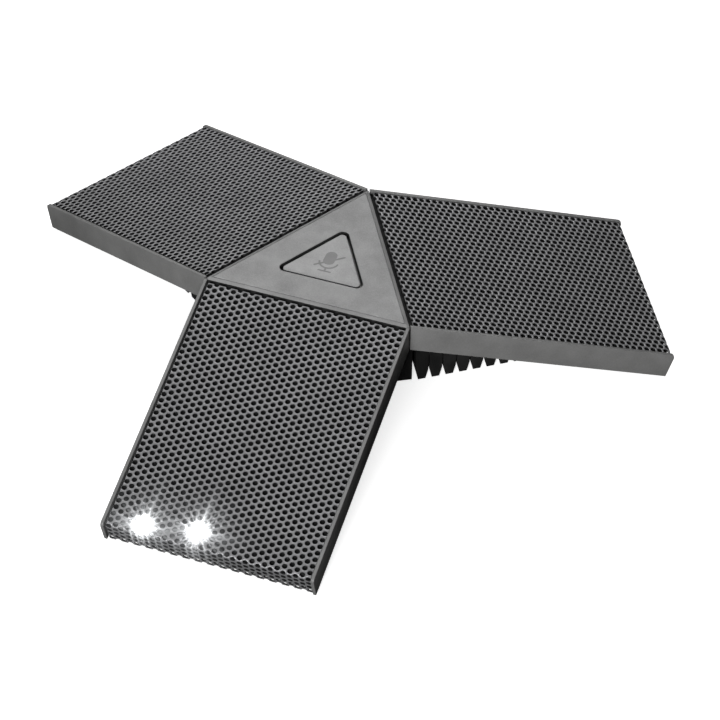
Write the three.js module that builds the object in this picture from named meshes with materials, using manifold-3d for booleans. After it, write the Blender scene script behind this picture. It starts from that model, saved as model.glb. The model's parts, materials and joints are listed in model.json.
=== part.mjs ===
// A three-winged table microphone pod for a conference phone: three sloping arms with perforated
// grilles round a triangular centre plate with a mute key, standing on a ribbed rubber base.
// Units are millimetres, +Z is up, and the origin is on the table under the centre of the plate.
import * as THREE from "three";
import { mergeVertices } from "three/addons/utils/BufferGeometryUtils.js";
import Module from "manifold-3d";

const wasm = await Module();
wasm.setup();

// ---------- driving dimensions ----------
const ARM_WIDTH = 60; // also the side of the triangular centre plate
const ARM_LENGTH = 80.3; // along the slope
const ARM_THICKNESS = 8;
const SLOPE = THREE.MathUtils.degToRad(16.6);
const TOP_HEIGHT = 31; // the centre plate's top above the table
const GAP = 0.3; // between pieces that touch

const RAIL = 0.9; // side wall of an arm
const ARM_FLOOR = 1.5;
const LEDGE_DEPTH = 1.9; // the grille and its cloth lie above this ledge
const LEDGE_WIDTH = 1.5;
const TIP_CORNER = 1.3; // radius of the side walls' upper corner at the tip
const TIP_GAP = 0.1; // from the grille to the arm's tip and underside
const SHEET_START = 0.7; // from the plate's edge to the grille and its cloth
const GRILLE = { recess: 0.3, thickness: 0.6, bend: 1.2 };
const CLOTH = { thickness: 0.3, bend: 0.6, foot: 7.5 };

const PLATE_THICKNESS = 2;
const PLATE_BEVEL = 1.1;
const PLATE_BEVEL_DROP = 0.5;
const KEY_Y = 0.6; // the key's centre is a little behind the plate's
const KEY_INRADIUS = 7;
const KEY_CORNER = 1.2;
const KEY_GAP = 0.8;
const KEY_RECESS = 0.4;
const KEY_FLANGE = 1.2; // the captive rim below the plate: its width and its thickness
const KEY_POST_RADIUS = 2;
const KEY_POST_LENGTH = 0.8;

const PAN_HALF_WIDTH = 19.2; // the base under each arm, at the hub
const PAN_REACH = 3.5; // the base's solid block ends this far out from the plate's edge
const PAN_BOTTOM = 0.8;
const PAN_TOP = 21.3;
const PAN_WALL = 1.8;
const PAN_FLOOR = 1.6;

const RIB_COUNT = 15;
const RIB_PITCH = 4.06;
const FIRST_RIB = 6.48; // centre of the first rib, out from the plate's edge
const RIB_TIP_WIDTH = 2.2;
const RIB_SHOULDER_WIDTH = 3.74;
const RIB_SHOULDER_HEIGHT = 3.3;
const RIB_ROOT_WIDTH = 3.84;
const RIB_ROOT_HEIGHT = 9;
const RIB_ROOF = 1.2; // the least rubber left above a groove
const FOOT_TAPER = 0.09; // half-width lost per millimetre outwards

const HUB_FLOOR = 1.5;
const HUB_WALL = 1.8;
const HUB_HOLE = 8;
const BOSS_RADIUS = 2.6;
const SCREW_SHAFT = 1.1;
const SCREW_HEAD = 2;
const SCREW_HEAD_HEIGHT = 1.3;
const SCREW_SOCKET = { radius: 0.8, depth: 0.6 };
const SCREW_CLEARANCE = 0.15;
const BOSS_TOP_DROP = 2.3; // from the hub frame's rim down to its screw bosses
const PAN_SCREW_DEPTH = 2.5; // from the base's rim down to the seats of its screws
const ARM_SCREW = { x: 23.5, along: 5.5, padDepth: 4.6, seatDepth: 6.2, topDepth: 2.9, padHalf: 3 };

const BALLAST_Z = 2.7;
const BALLAST_THICKNESS = 1.5;
const MAIN_BOARD_Z = 5.2;
const BOARD_THICKNESS = 1.6;
const KEY_BOARD_Z = 21.1;
const KEY_BOARD_THICKNESS = 1.2;
const KEY_BOARD_RADIUS = 8.8;
const SWITCH = { side: 6, top: 25.2, bore: 2, boreBottom: 23.4 };
const PLUNGER = { radius: 1.7, bottom: 24.3 };
const BOARD_LINK = { halfWidth: 6, y0: -6.5, y1: -4 };
const PAD = { radius: 8, recess: 0.6, top: 1.1 };
const LABEL = { width: 24, length: 6.5, y: -14.5, bottom: 0.85, top: 1.1 };

const JACK = { width: 16, depth: 16, height: 12 };
const JACK_FACE_Y = 31.2;
const JACK_WALL = 0.8;
const PORT = { width: 11.8, depth: 12.5, height: 7.6, rise: 1.8 };
const LATCH_SLOT = { width: 6, height: 1.5 };

const MIC_ALONG = 54;
const MIC_BOARD = { width: 22, start: 44, length: 16, thickness: 1 };
const MIC_RADIUS = 3;
const MIC_HEIGHT = 2.3;
const MIC_BOOT = { radius: 5.5, height: 2.6 };
const RIBBON_WIDTH = 6;
const RIBBON_THICKNESS = 0.3;
const LED_SPOTS = [
  { x: 18.9, along: 77.1 },
  { x: 4.2, along: 74.7 },
];
const LED_BOARD = { x0: 1, x1: 22, start: 72.5, end: 78, thickness: 1 };
const LED_SIZE = { width: 2.8, length: 1.6, height: 1.2 };
const LED_LEAD = { x0: 5, x1: 10 };
const LENS = { radius: 1.25, dome: 0.5 };

// ---------- values that follow ----------
const INRADIUS = ARM_WIDTH / (2 * Math.sqrt(3));
const HALF_WIDTH = ARM_WIDTH / 2;
const PLATE_BOTTOM = TOP_HEIGHT - PLATE_THICKNESS;
const ARM_FLOOR_TOP = ARM_THICKNESS - ARM_FLOOR; // depth below the arm's top face
const HUB_TOP = PLATE_BOTTOM - GAP;
const HUB_BOTTOM = TOP_HEIGHT - ARM_THICKNESS / Math.cos(SLOPE);
const PAN_FLOOR_TOP = PAN_BOTTOM + PAN_FLOOR;
const MAIN_BOARD_TOP = MAIN_BOARD_Z + BOARD_THICKNESS;
const KEY_BOARD_TOP = KEY_BOARD_Z + KEY_BOARD_THICKNESS;
const KEY_FLANGE_TOP = PLATE_BOTTOM - GAP;
const KEY_POST_BOTTOM = KEY_FLANGE_TOP - KEY_FLANGE - KEY_POST_LENGTH;
const CHANNEL = HALF_WIDTH - RAIL; // half the width between an arm's side walls
const SHEET_HALF_WIDTH = CHANNEL - GAP;
const CLOTH_DEPTH = GRILLE.recess + GRILLE.thickness + GAP;
const MIC_BOARD_BOTTOM = GAP - ARM_FLOOR_TOP;
const MIC_BOTTOM = MIC_BOARD_BOTTOM + MIC_BOARD.thickness + GAP;
const LED_BOTTOM = MIC_BOARD_BOTTOM + LED_BOARD.thickness + GAP;
const BOSS_TOP = HUB_TOP - BOSS_TOP_DROP;
const PILOT_TOP = BOSS_TOP - 0.5;
const PAN_SCREW_SEAT = PAN_TOP - PAN_SCREW_DEPTH;
const JACK_Z = MAIN_BOARD_TOP + GAP;
const ARMS = [
  { name: "front", azimuth: -90 },
  { name: "right", azimuth: 30 },
  { name: "left", azimuth: 150 },
];
const PAN_SCREWS = [polar(17, -30), polar(17, 210), polar(12, 90)];
const BOARD_SCREWS = [polar(16, -90), new THREE.Vector2(18.4, 0.2), new THREE.Vector2(-18.4, 0.2)];

function polar(radius, degrees) {
  const angle = THREE.MathUtils.degToRad(degrees);
  return new THREE.Vector2(radius * Math.cos(angle), radius * Math.sin(angle));
}

// ---------- joining and cutting ----------
function solidOf(geometry) {
  const bare = new THREE.BufferGeometry();
  bare.setAttribute("position", geometry.getAttribute("position").clone());
  if (geometry.index) bare.setIndex(geometry.index.clone());
  const merged = mergeVertices(bare, 1e-4);
  return new wasm.Manifold(
    new wasm.Mesh({
      numProp: 3,
      vertProperties: merged.attributes.position.array,
      triVerts: new Uint32Array(merged.index.array),
    }),
  );
}

function geometryOf(solid) {
  const mesh = solid.getMesh();
  return new THREE.BufferGeometry()
    .setAttribute("position", new THREE.BufferAttribute(new Float32Array(mesh.vertProperties), 3))
    .setIndex(new THREE.BufferAttribute(new Uint32Array(mesh.triVerts), 1));
}

function join(...geometries) {
  return geometryOf(geometries.map(solidOf).reduce((a, b) => a.add(b)));
}

function cut(body, ...tools) {
  return geometryOf(tools.map(solidOf).reduce((a, b) => a.subtract(b), solidOf(body)));
}

function common(a, b) {
  return geometryOf(solidOf(a).intersect(solidOf(b)));
}

// ---------- basic shapes ----------
function block(x0, x1, y0, y1, z0, z1) {
  const geometry = new THREE.BoxGeometry(x1 - x0, y1 - y0, z1 - z0);
  return geometry.translate((x0 + x1) / 2, (y0 + y1) / 2, (z0 + z1) / 2);
}

function cylinder(radius, z0, z1, place = new THREE.Vector2(), segments = 16) {
  const geometry = new THREE.CylinderGeometry(radius, radius, z1 - z0, segments);
  return geometry.rotateX(Math.PI / 2).translate(place.x, place.y, (z0 + z1) / 2);
}

function prism(outline, z0, z1) {
  const shape = outline instanceof THREE.Shape ? outline : new THREE.Shape(outline);
  const settings = { depth: z1 - z0, bevelEnabled: false, curveSegments: 8 };
  return new THREE.ExtrudeGeometry(shape, settings).translate(0, 0, z0);
}

// An outline in the (Y, Z) plane, swept across X on both sides of `centre`.
function across(outline, halfWidth, centre = 0) {
  const turn = new THREE.Matrix4().makeBasis(
    new THREE.Vector3(0, 1, 0),
    new THREE.Vector3(0, 0, 1),
    new THREE.Vector3(1, 0, 0),
  );
  const swept = prism(outline, centre - halfWidth, centre + halfWidth);
  return swept.applyMatrix4(turn);
}

// A triangular frustum with a corner towards +Y.
function triangle(inradiusBottom, inradiusTop, z0, z1) {
  const geometry = new THREE.CylinderGeometry(2 * inradiusTop, 2 * inradiusBottom, z1 - z0, 3);
  return geometry
    .rotateX(Math.PI / 2)
    .rotateZ(Math.PI)
    .translate(0, 0, (z0 + z1) / 2);
}

function roundedTriangle(inradius, corner, centreY) {
  const shape = new THREE.Shape();
  for (let k = 0; k < 3; k++) {
    const towards = 90 + 120 * k;
    const centre = polar(2 * (inradius - corner), towards);
    const from = THREE.MathUtils.degToRad(towards - 60);
    const to = THREE.MathUtils.degToRad(towards + 60);
    shape.absarc(centre.x, centre.y + centreY, corner, from, to, false);
  }
  return shape;
}

// A screw driven upwards, whose head seats at the height `seat`.
function screw(seat, top) {
  const face = seat - SCREW_HEAD_HEIGHT;
  const profile = [
    [0, face + SCREW_SOCKET.depth],
    [SCREW_SOCKET.radius, face + SCREW_SOCKET.depth],
    [SCREW_SOCKET.radius, face],
    [SCREW_HEAD, face],
    [SCREW_HEAD, seat],
    [SCREW_SHAFT, seat],
    [SCREW_SHAFT, top],
    [0, top],
  ];
  const points = profile.map(([r, z]) => new THREE.Vector2(r, z));
  return new THREE.LatheGeometry(points, 12).rotateX(Math.PI / 2);
}

// ---------- frames ----------
// An arm's frame: X across it, Y outwards from the plate's edge, Z up from the table.
function armMatrix(arm) {
  const centre = polar(INRADIUS, arm.azimuth);
  const turn = THREE.MathUtils.degToRad(arm.azimuth - 90);
  return new THREE.Matrix4().makeRotationZ(turn).setPosition(centre.x, centre.y, 0);
}

// An arm's sloping frame: Y runs down its top face from the plate's edge, and Z is square to it.
function slopeMatrix(arm) {
  const tilt = new THREE.Matrix4().makeRotationX(-SLOPE).setPosition(0, 0, TOP_HEIGHT);
  return armMatrix(arm).multiply(tilt);
}

// Where a plumb plane, `out` from the plate's edge, passes `depth` below the top face.
function plumb(out, depth) {
  const along = (out + depth * Math.sin(SLOPE)) / Math.cos(SLOPE);
  return new THREE.Vector2(along, -depth);
}

// The side view of a stretch of the arm, with `corner` the radius of its upper corner at the tip.
function slab(out, end, top, bottom, corner = 0) {
  const points = [plumb(out, top)];
  const steps = 5;
  for (let k = 0; corner > 0 && k < steps; k++) {
    const angle = (k / steps) * (Math.PI / 2);
    const along = end - corner * (1 - Math.sin(angle));
    points.push(new THREE.Vector2(along, -top - corner * (1 - Math.cos(angle))));
  }
  points.push(new THREE.Vector2(end, -top - corner));
  points.push(new THREE.Vector2(end, -bottom), plumb(out, bottom));
  return points;
}

// A thin sheet that lies `top` below the top face and bends down over the tip, to `foot` below it.
function bentSheet(tip, top, foot, { thickness, bend }) {
  const shape = new THREE.Shape();
  const start = plumb(SHEET_START, top);
  const inner = bend - thickness;
  shape.moveTo(start.x, start.y);
  shape.lineTo(tip - bend, -top);
  shape.absarc(tip - bend, -top - bend, bend, Math.PI / 2, 0, true);
  shape.lineTo(tip, -foot);
  shape.lineTo(tip - thickness, -foot);
  shape.absarc(tip - bend, -top - bend, inner, 0, Math.PI / 2, false);
  const back = plumb(SHEET_START, top + thickness);
  shape.lineTo(back.x, back.y);
  return across(shape, SHEET_HALF_WIDTH);
}

// ---------- the arms ----------
function armShell() {
  const outer = across(slab(GAP / 2, ARM_LENGTH, 0, ARM_THICKNESS, TIP_CORNER), HALF_WIDTH);
  const recess = across(slab(-1, ARM_LENGTH + 1, -1, LEDGE_DEPTH), CHANNEL);
  const hollow = across(slab(-1, ARM_LENGTH + 1, 1, ARM_FLOOR_TOP), CHANNEL - LEDGE_WIDTH);
  const tip = ARM_LENGTH - TIP_GAP - GRILLE.thickness - CLOTH.thickness - 3 * GAP;
  const end = block(-CHANNEL, CHANNEL, tip, ARM_LENGTH + 1, -ARM_THICKNESS - 1, 1);
  const channelled = cut(outer, recess, hollow, end);
  const padEnd = ARM_SCREW.along + ARM_SCREW.padHalf;
  const pads = [];
  const tools = [];
  for (const side of [-1, 1]) {
    const x = side * ARM_SCREW.x;
    const place = new THREE.Vector2(x, ARM_SCREW.along);
    const pad = slab(GAP / 2, padEnd, ARM_SCREW.padDepth, ARM_THICKNESS);
    pads.push(across(pad, ARM_SCREW.padHalf, x));
    tools.push(cylinder(SCREW_SHAFT + SCREW_CLEARANCE, -ARM_THICKNESS - 1, -1, place));
    tools.push(cylinder(SCREW_HEAD + SCREW_CLEARANCE, -ARM_THICKNESS - 1, -ARM_SCREW.seatDepth, place));
  }
  return cut(join(channelled, ...pads), ...tools);
}

function grille() {
  return bentSheet(ARM_LENGTH - TIP_GAP, GRILLE.recess, ARM_THICKNESS - TIP_GAP, GRILLE);
}

function grilleCloth() {
  const tip = ARM_LENGTH - TIP_GAP - GRILLE.thickness - GAP;
  return bentSheet(tip, CLOTH_DEPTH, CLOTH.foot, CLOTH);
}

function micBoard() {
  const { width, start, length, thickness } = MIC_BOARD;
  const top = MIC_BOARD_BOTTOM + thickness;
  return block(-width / 2, width / 2, start, start + length, MIC_BOARD_BOTTOM, top);
}

function ring(outer, inner, z0, z1) {
  const corners = [
    [inner, z0],
    [outer, z0],
    [outer, z1],
    [inner, z1],
    [inner, z0],
  ];
  const profile = corners.map(([r, z]) => new THREE.Vector2(r, z));
  return new THREE.LatheGeometry(profile, 24).rotateX(Math.PI / 2);
}

function micBoot() {
  const boot = ring(MIC_BOOT.radius, MIC_RADIUS + GAP, MIC_BOTTOM, MIC_BOTTOM + MIC_BOOT.height);
  return boot.translate(0, MIC_ALONG, 0);
}

function micCapsule() {
  return cylinder(MIC_RADIUS, MIC_BOTTOM, MIC_BOTTOM + MIC_HEIGHT, new THREE.Vector2(0, MIC_ALONG));
}

// A flat cable from the microphone's board to the key's board, in the arm's upright frame.
function ribbon() {
  const floorAtHub = TOP_HEIGHT - ARM_FLOOR_TOP / Math.cos(SLOPE);
  const lineAt = (out) => floorAtHub - out * Math.tan(SLOPE) + 2 * GAP;
  const outEnd = (MIC_BOARD.start - GAP) * Math.cos(SLOPE) - ARM_FLOOR_TOP * Math.sin(SLOPE);
  const hubLevel = HUB_BOTTOM + HUB_FLOOR + GAP;
  const boardLevel = KEY_BOARD_TOP + GAP;
  const lower = [
    [outEnd, lineAt(outEnd)],
    [1, lineAt(1)],
    [-2.5, hubLevel],
    [HUB_HOLE - 1.1 - INRADIUS, hubLevel],
    [HUB_HOLE - 1.9 - INRADIUS, boardLevel],
    [HUB_HOLE - 3.2 - INRADIUS, boardLevel],
  ].map(([out, z]) => new THREE.Vector2(out, z));
  const upper = lower.map((p) => new THREE.Vector2(p.x + 0.1, p.y + RIBBON_THICKNESS));
  return across([...lower, ...upper.reverse()], RIBBON_WIDTH / 2);
}

// ---------- the lights near the front arm's tip ----------
function ledBoard() {
  const { x0, x1, start, end, thickness } = LED_BOARD;
  return block(x0, x1, start, end, MIC_BOARD_BOTTOM, MIC_BOARD_BOTTOM + thickness);
}

function ledChip({ x, along }) {
  const halfWidth = LED_SIZE.width / 2;
  const halfLength = LED_SIZE.length / 2;
  const top = LED_BOTTOM + LED_SIZE.height;
  return block(x - halfWidth, x + halfWidth, along - halfLength, along + halfLength, LED_BOTTOM, top);
}

function ledLens({ x, along }) {
  const bottom = LED_BOTTOM + LED_SIZE.height + GAP;
  const rim = -LEDGE_DEPTH - LENS.dome;
  const profile = [new THREE.Vector2(0, bottom)];
  for (let k = 0; k <= 3; k++) {
    const angle = (k / 3) * (Math.PI / 2);
    const radius = k < 3 ? LENS.radius * Math.cos(angle) : 0;
    profile.push(new THREE.Vector2(radius, rim + LENS.dome * Math.sin(angle)));
  }
  profile.splice(1, 0, new THREE.Vector2(LENS.radius, bottom));
  return new THREE.LatheGeometry(profile, 12).rotateX(Math.PI / 2).translate(x, along, 0);
}

function ledLead() {
  const start = MIC_BOARD.start + MIC_BOARD.length + GAP;
  const bottom = MIC_BOARD_BOTTOM + GAP;
  const top = bottom + RIBBON_THICKNESS;
  return block(LED_LEAD.x0, LED_LEAD.x1, start, LED_BOARD.start - GAP, bottom, top);
}

// ---------- the ribbed rubber feet ----------
function undersideAt(out) {
  return HUB_BOTTOM - out * Math.tan(SLOPE);
}

// The side view of a foot: ribs on the table below, and the arm's sloping underside above.
function footOutline() {
  const start = FIRST_RIB - RIB_PITCH / 2;
  const end = FIRST_RIB + RIB_PITCH * (RIB_COUNT - 0.5);
  const points = [new THREE.Vector2(end, undersideAt(end) - GAP)];
  points.push(new THREE.Vector2(start, undersideAt(start) - GAP));
  for (let k = 0; k < RIB_COUNT; k++) {
    const centre = FIRST_RIB + k * RIB_PITCH;
    const room = (side) => undersideAt(centre + side * RIB_PITCH * 0.5) - GAP - RIB_ROOF;
    for (const side of [-1, 1]) {
      const root = Math.min(RIB_ROOT_HEIGHT, room(side));
      const shoulder = Math.min(RIB_SHOULDER_HEIGHT, root * 0.6);
      const flank = [
        [RIB_TIP_WIDTH / 2, 0],
        [RIB_SHOULDER_WIDTH / 2, shoulder],
        [RIB_ROOT_WIDTH / 2, root],
      ];
      if (side < 0) flank.reverse();
      for (const [half, z] of flank) points.push(new THREE.Vector2(centre + side * half, z));
    }
  }
  return points;
}

function ribFoot() {
  const reach = FIRST_RIB + RIB_PITCH * RIB_COUNT;
  const wide = PAN_HALF_WIDTH;
  const narrow = PAN_HALF_WIDTH - FOOT_TAPER * reach;
  const plan = [
    new THREE.Vector2(-wide, 0),
    new THREE.Vector2(wide, 0),
    new THREE.Vector2(narrow, reach),
    new THREE.Vector2(-narrow, reach),
  ];
  return common(across(footOutline(), wide), prism(plan, -1, TOP_HEIGHT));
}

// ---------- the hub ----------
// The base's plan: three lobes, one under each arm, `inset` inside the outer wall.
function lobes(inset) {
  const half = PAN_HALF_WIDTH - inset;
  const reach = INRADIUS + PAN_REACH - inset;
  const outline = [];
  for (const { azimuth } of ARMS) {
    const out = polar(1, azimuth);
    const side = polar(1, azimuth + 90);
    const corner = (s) => out.clone().multiplyScalar(reach).addScaledVector(side, s * half);
    outline.push(corner(-1), corner(1), polar(half / Math.cos(Math.PI / 6), azimuth + 60));
  }
  return outline;
}

function holesAt(places, radius, z0, z1) {
  return places.map((place) => cylinder(radius, z0, z1, place));
}

function hubFrame() {
  const wallIn = INRADIUS - GAP / 2;
  const pocketIn = wallIn - HUB_WALL;
  const floorTop = HUB_BOTTOM + HUB_FLOOR;
  const tray = cut(
    triangle(wallIn, wallIn, HUB_BOTTOM, HUB_TOP),
    triangle(pocketIn, pocketIn, floorTop, HUB_TOP + 1),
  );
  const bosses = holesAt(PAN_SCREWS, BOSS_RADIUS, PAN_TOP + GAP, BOSS_TOP);
  const lugEnd = ARM_SCREW.along + ARM_SCREW.padHalf;
  const lugs = [];
  const slots = [];
  const pilots = holesAt(PAN_SCREWS, SCREW_SHAFT + SCREW_CLEARANCE, 0, PILOT_TOP);
  const slotHalf = RIBBON_WIDTH / 2 + 2 * GAP;
  for (const arm of ARMS) {
    slots.push(block(-slotHalf, slotHalf, -4, 1, floorTop, floorTop + 2).applyMatrix4(armMatrix(arm)));
    for (const side of [-1, 1]) {
      const x = side * ARM_SCREW.x;
      const outline = slab(-1, lugEnd, LEDGE_DEPTH + 3 * GAP, ARM_SCREW.padDepth - GAP);
      lugs.push(across(outline, ARM_SCREW.padHalf, x).applyMatrix4(slopeMatrix(arm)));
      const place = new THREE.Vector2(x, ARM_SCREW.along);
      const pilotTop = GAP - ARM_SCREW.topDepth;
      const pilot = cylinder(SCREW_SHAFT + SCREW_CLEARANCE, -ARM_THICKNESS, pilotTop, place);
      pilots.push(pilot.applyMatrix4(slopeMatrix(arm)));
    }
  }
  const hole = cylinder(HUB_HOLE, 0, HUB_TOP, new THREE.Vector2(), 48);
  return cut(join(cut(tray, hole), ...bosses, ...lugs), ...slots, ...pilots);
}

function centrePlate() {
  const edge = TOP_HEIGHT - PLATE_BEVEL_DROP;
  const body = join(
    triangle(INRADIUS, INRADIUS, PLATE_BOTTOM, edge + 0.01),
    triangle(INRADIUS, INRADIUS - PLATE_BEVEL, edge, TOP_HEIGHT),
  );
  const aperture = roundedTriangle(KEY_INRADIUS + KEY_GAP, KEY_CORNER + KEY_GAP * 0.75, KEY_Y);
  return cut(body, prism(aperture, PLATE_BOTTOM - 1, TOP_HEIGHT + 1));
}

function muteKey() {
  const capPlan = roundedTriangle(KEY_INRADIUS, KEY_CORNER, KEY_Y);
  const cap = prism(capPlan, KEY_FLANGE_TOP - 1, TOP_HEIGHT - KEY_RECESS);
  const rim = KEY_GAP + KEY_FLANGE;
  const flangePlan = roundedTriangle(KEY_INRADIUS + rim, KEY_CORNER + rim, KEY_Y);
  const flange = prism(flangePlan, KEY_FLANGE_TOP - KEY_FLANGE, KEY_FLANGE_TOP);
  const post = cylinder(KEY_POST_RADIUS, KEY_POST_BOTTOM, KEY_FLANGE_TOP);
  return join(cap, flange, post);
}

function tactSwitch() {
  const half = SWITCH.side / 2;
  const body = block(-half, half, -half, half, KEY_BOARD_TOP + GAP, SWITCH.top);
  return cut(body, cylinder(SWITCH.bore, SWITCH.boreBottom, SWITCH.top + 1));
}

function switchPlunger() {
  return cylinder(PLUNGER.radius, PLUNGER.bottom, KEY_POST_BOTTOM - GAP);
}

function keyBoard() {
  return cylinder(KEY_BOARD_RADIUS, KEY_BOARD_Z, KEY_BOARD_TOP, new THREE.Vector2(), 48);
}

function boardLink() {
  const { halfWidth, y0, y1 } = BOARD_LINK;
  return block(-halfWidth, halfWidth, y0, y1, MAIN_BOARD_TOP + GAP, KEY_BOARD_Z - GAP);
}

function boardOutline(z0, z1) {
  const half = JACK.width / 2 - GAP;
  const tongue = block(-half, half, 0, JACK_FACE_Y - 1.5, z0, z1);
  return join(prism(lobes(PAN_WALL + 0.4), z0, z1), tongue);
}

function mainBoard() {
  const z1 = MAIN_BOARD_TOP;
  return cut(
    boardOutline(MAIN_BOARD_Z, z1),
    ...holesAt(PAN_SCREWS, BOSS_RADIUS + 2 * GAP, 0, z1 + 1),
    ...holesAt(BOARD_SCREWS, SCREW_SHAFT + SCREW_CLEARANCE, 0, z1 + 1),
  );
}

function ballastPlate() {
  const z1 = BALLAST_Z + BALLAST_THICKNESS;
  return cut(
    prism(lobes(PAN_WALL + 1), BALLAST_Z, z1),
    ...holesAt(PAN_SCREWS, BOSS_RADIUS + 2 * GAP, 0, z1 + 1),
    ...holesAt(BOARD_SCREWS, BOSS_RADIUS + GAP, 0, z1 + 1),
  );
}

function cableJack() {
  const half = JACK.width / 2;
  const back = JACK_FACE_Y - JACK.depth;
  const body = block(-half, half, back, JACK_FACE_Y, JACK_Z, JACK_Z + JACK.height);
  const portHalf = PORT.width / 2;
  const portBack = JACK_FACE_Y - PORT.depth;
  const portBottom = JACK_Z + PORT.rise;
  const portTop = portBottom + PORT.height;
  const port = block(-portHalf, portHalf, portBack, JACK_FACE_Y + 1, portBottom, portTop);
  const latchHalf = LATCH_SLOT.width / 2;
  const latchTop = portTop + LATCH_SLOT.height;
  const latch = block(-latchHalf, latchHalf, portBack, JACK_FACE_Y + 1, portTop - 1, latchTop);
  return cut(body, port, latch);
}

function basePan() {
  const jackHalf = JACK.width / 2 + GAP;
  const jackRoof = JACK_Z + JACK.height + GAP;
  const housing = block(
    -jackHalf - JACK_WALL,
    jackHalf + JACK_WALL,
    0,
    JACK_FACE_Y - 0.2,
    PAN_BOTTOM,
    jackRoof + JACK_WALL,
  );
  const outer = join(prism(lobes(0), PAN_BOTTOM, PAN_TOP), housing);
  const room = join(
    prism(lobes(PAN_WALL), PAN_FLOOR_TOP, PAN_TOP + 1),
    block(-jackHalf, jackHalf, 0, JACK_FACE_Y - 1.2, MAIN_BOARD_Z - GAP, jackRoof),
    block(-jackHalf, jackHalf, 0, JACK_FACE_Y + 1, JACK_Z - GAP, jackRoof),
  );
  const shell = cut(outer, room);
  const posts = [
    ...holesAt(PAN_SCREWS, BOSS_RADIUS, PAN_FLOOR_TOP - 0.5, PAN_TOP),
    ...holesAt(BOARD_SCREWS, BOSS_RADIUS - GAP, PAN_FLOOR_TOP - 0.5, MAIN_BOARD_Z - GAP),
  ];
  const label = LABEL.width / 2 + GAP;
  const labelFrom = LABEL.y - LABEL.length / 2 - GAP;
  const labelTo = LABEL.y + LABEL.length / 2 + GAP;
  return cut(
    join(shell, ...posts),
    ...holesAt(PAN_SCREWS, SCREW_HEAD + SCREW_CLEARANCE, 0, PAN_SCREW_SEAT),
    ...holesAt(PAN_SCREWS, SCREW_SHAFT + SCREW_CLEARANCE, 0, PAN_TOP + 1),
    ...holesAt(BOARD_SCREWS, SCREW_SHAFT + SCREW_CLEARANCE, PAN_FLOOR_TOP, MAIN_BOARD_Z),
    cylinder(PAD.radius + GAP, 0, PAN_BOTTOM + PAD.recess, new THREE.Vector2(), 48),
    block(-label, label, labelFrom, labelTo, 0, PAN_BOTTOM + PAD.recess),
  );
}

function hubPad() {
  return cylinder(PAD.radius, 0, PAD.top, new THREE.Vector2(), 48);
}

function ratingLabel() {
  const { width, length, y, bottom, top } = LABEL;
  return block(-width / 2, width / 2, y - length / 2, y + length / 2, bottom, top);
}

// ---------- materials ----------
function finish(color, roughness, metalness = 0) {
  return new THREE.MeshStandardMaterial({ color, roughness, metalness });
}

const FINISHES = {
  shell: finish(0x5b5b5d, 0.55),
  plate: finish(0x6a6a6c, 0.6),
  key: finish(0x77777a, 0.6),
  grille: finish(0x6c6c74, 0.45, 0.6),
  cloth: finish(0x0c0c0d, 0.95),
  rubber: finish(0x151516, 0.85),
  pan: finish(0x1a1a1b, 0.7),
  board: finish(0x1f4a2c, 0.5),
  blackPlastic: finish(0x101011, 0.5),
  steel: finish(0xb0b2b5, 0.3, 1),
  ribbon: finish(0xd8d4c8, 0.6),
  led: finish(0xf8f8ff, 0.3),
  lens: finish(0xffffff, 0.1),
  label: finish(0xc9cacb, 0.5),
};

// ---------- the assembly ----------
const root = new THREE.Group();
root.name = "microphone_pod";

function add(parent, name, geometry, material) {
  const mesh = new THREE.Mesh(geometry, material);
  mesh.name = name;
  parent.add(mesh);
  return mesh;
}

function frameGroup(matrix) {
  const group = new THREE.Group();
  group.applyMatrix4(matrix);
  root.add(group);
  return group;
}

for (const arm of ARMS) {
  const upright = frameGroup(armMatrix(arm));
  const sloping = frameGroup(slopeMatrix(arm));
  add(sloping, `arm_shell_${arm.name}`, armShell(), FINISHES.shell);
  add(sloping, `grille_${arm.name}`, grille(), FINISHES.grille);
  add(sloping, `grille_cloth_${arm.name}`, grilleCloth(), FINISHES.cloth);
  add(sloping, `mic_board_${arm.name}`, micBoard(), FINISHES.board);
  add(sloping, `mic_boot_${arm.name}`, micBoot(), FINISHES.rubber);
  add(sloping, `mic_capsule_${arm.name}`, micCapsule(), FINISHES.steel);
  add(upright, `ribbon_cable_${arm.name}`, ribbon(), FINISHES.ribbon);
  add(upright, `rib_foot_${arm.name}`, ribFoot(), FINISHES.rubber);
  for (const side of [-1, 1]) {
    const fastener = add(
      sloping,
      `arm_screw_${arm.name}_${side < 0 ? "1" : "2"}`,
      screw(-ARM_SCREW.seatDepth - SCREW_CLEARANCE, -ARM_SCREW.topDepth),
      FINISHES.steel,
    );
    fastener.position.set(side * ARM_SCREW.x, ARM_SCREW.along, 0);
  }
  if (arm.name === "front") {
    add(sloping, "led_board", ledBoard(), FINISHES.board);
    add(sloping, "led_lead", ledLead(), FINISHES.ribbon);
    LED_SPOTS.forEach((spot, k) => {
      add(sloping, `status_led_${k + 1}`, ledChip(spot), FINISHES.led);
      add(sloping, `status_lens_${k + 1}`, ledLens(spot), FINISHES.lens);
    });
  }
}

add(root, "centre_plate", centrePlate(), FINISHES.plate);
add(root, "hub_frame", hubFrame(), FINISHES.pan);
add(root, "base_pan", basePan(), FINISHES.pan);
add(root, "hub_pad", hubPad(), FINISHES.rubber);
add(root, "rating_label", ratingLabel(), FINISHES.label);
add(root, "mute_key", muteKey(), FINISHES.key);
add(root, "tact_switch", tactSwitch(), FINISHES.blackPlastic);
add(root, "switch_plunger", switchPlunger(), FINISHES.blackPlastic);
add(root, "key_board", keyBoard(), FINISHES.board);
add(root, "board_link", boardLink(), FINISHES.blackPlastic);
add(root, "main_board", mainBoard(), FINISHES.board);
add(root, "ballast_plate", ballastPlate(), FINISHES.steel);
add(root, "cable_jack", cableJack(), FINISHES.blackPlastic);

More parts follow.
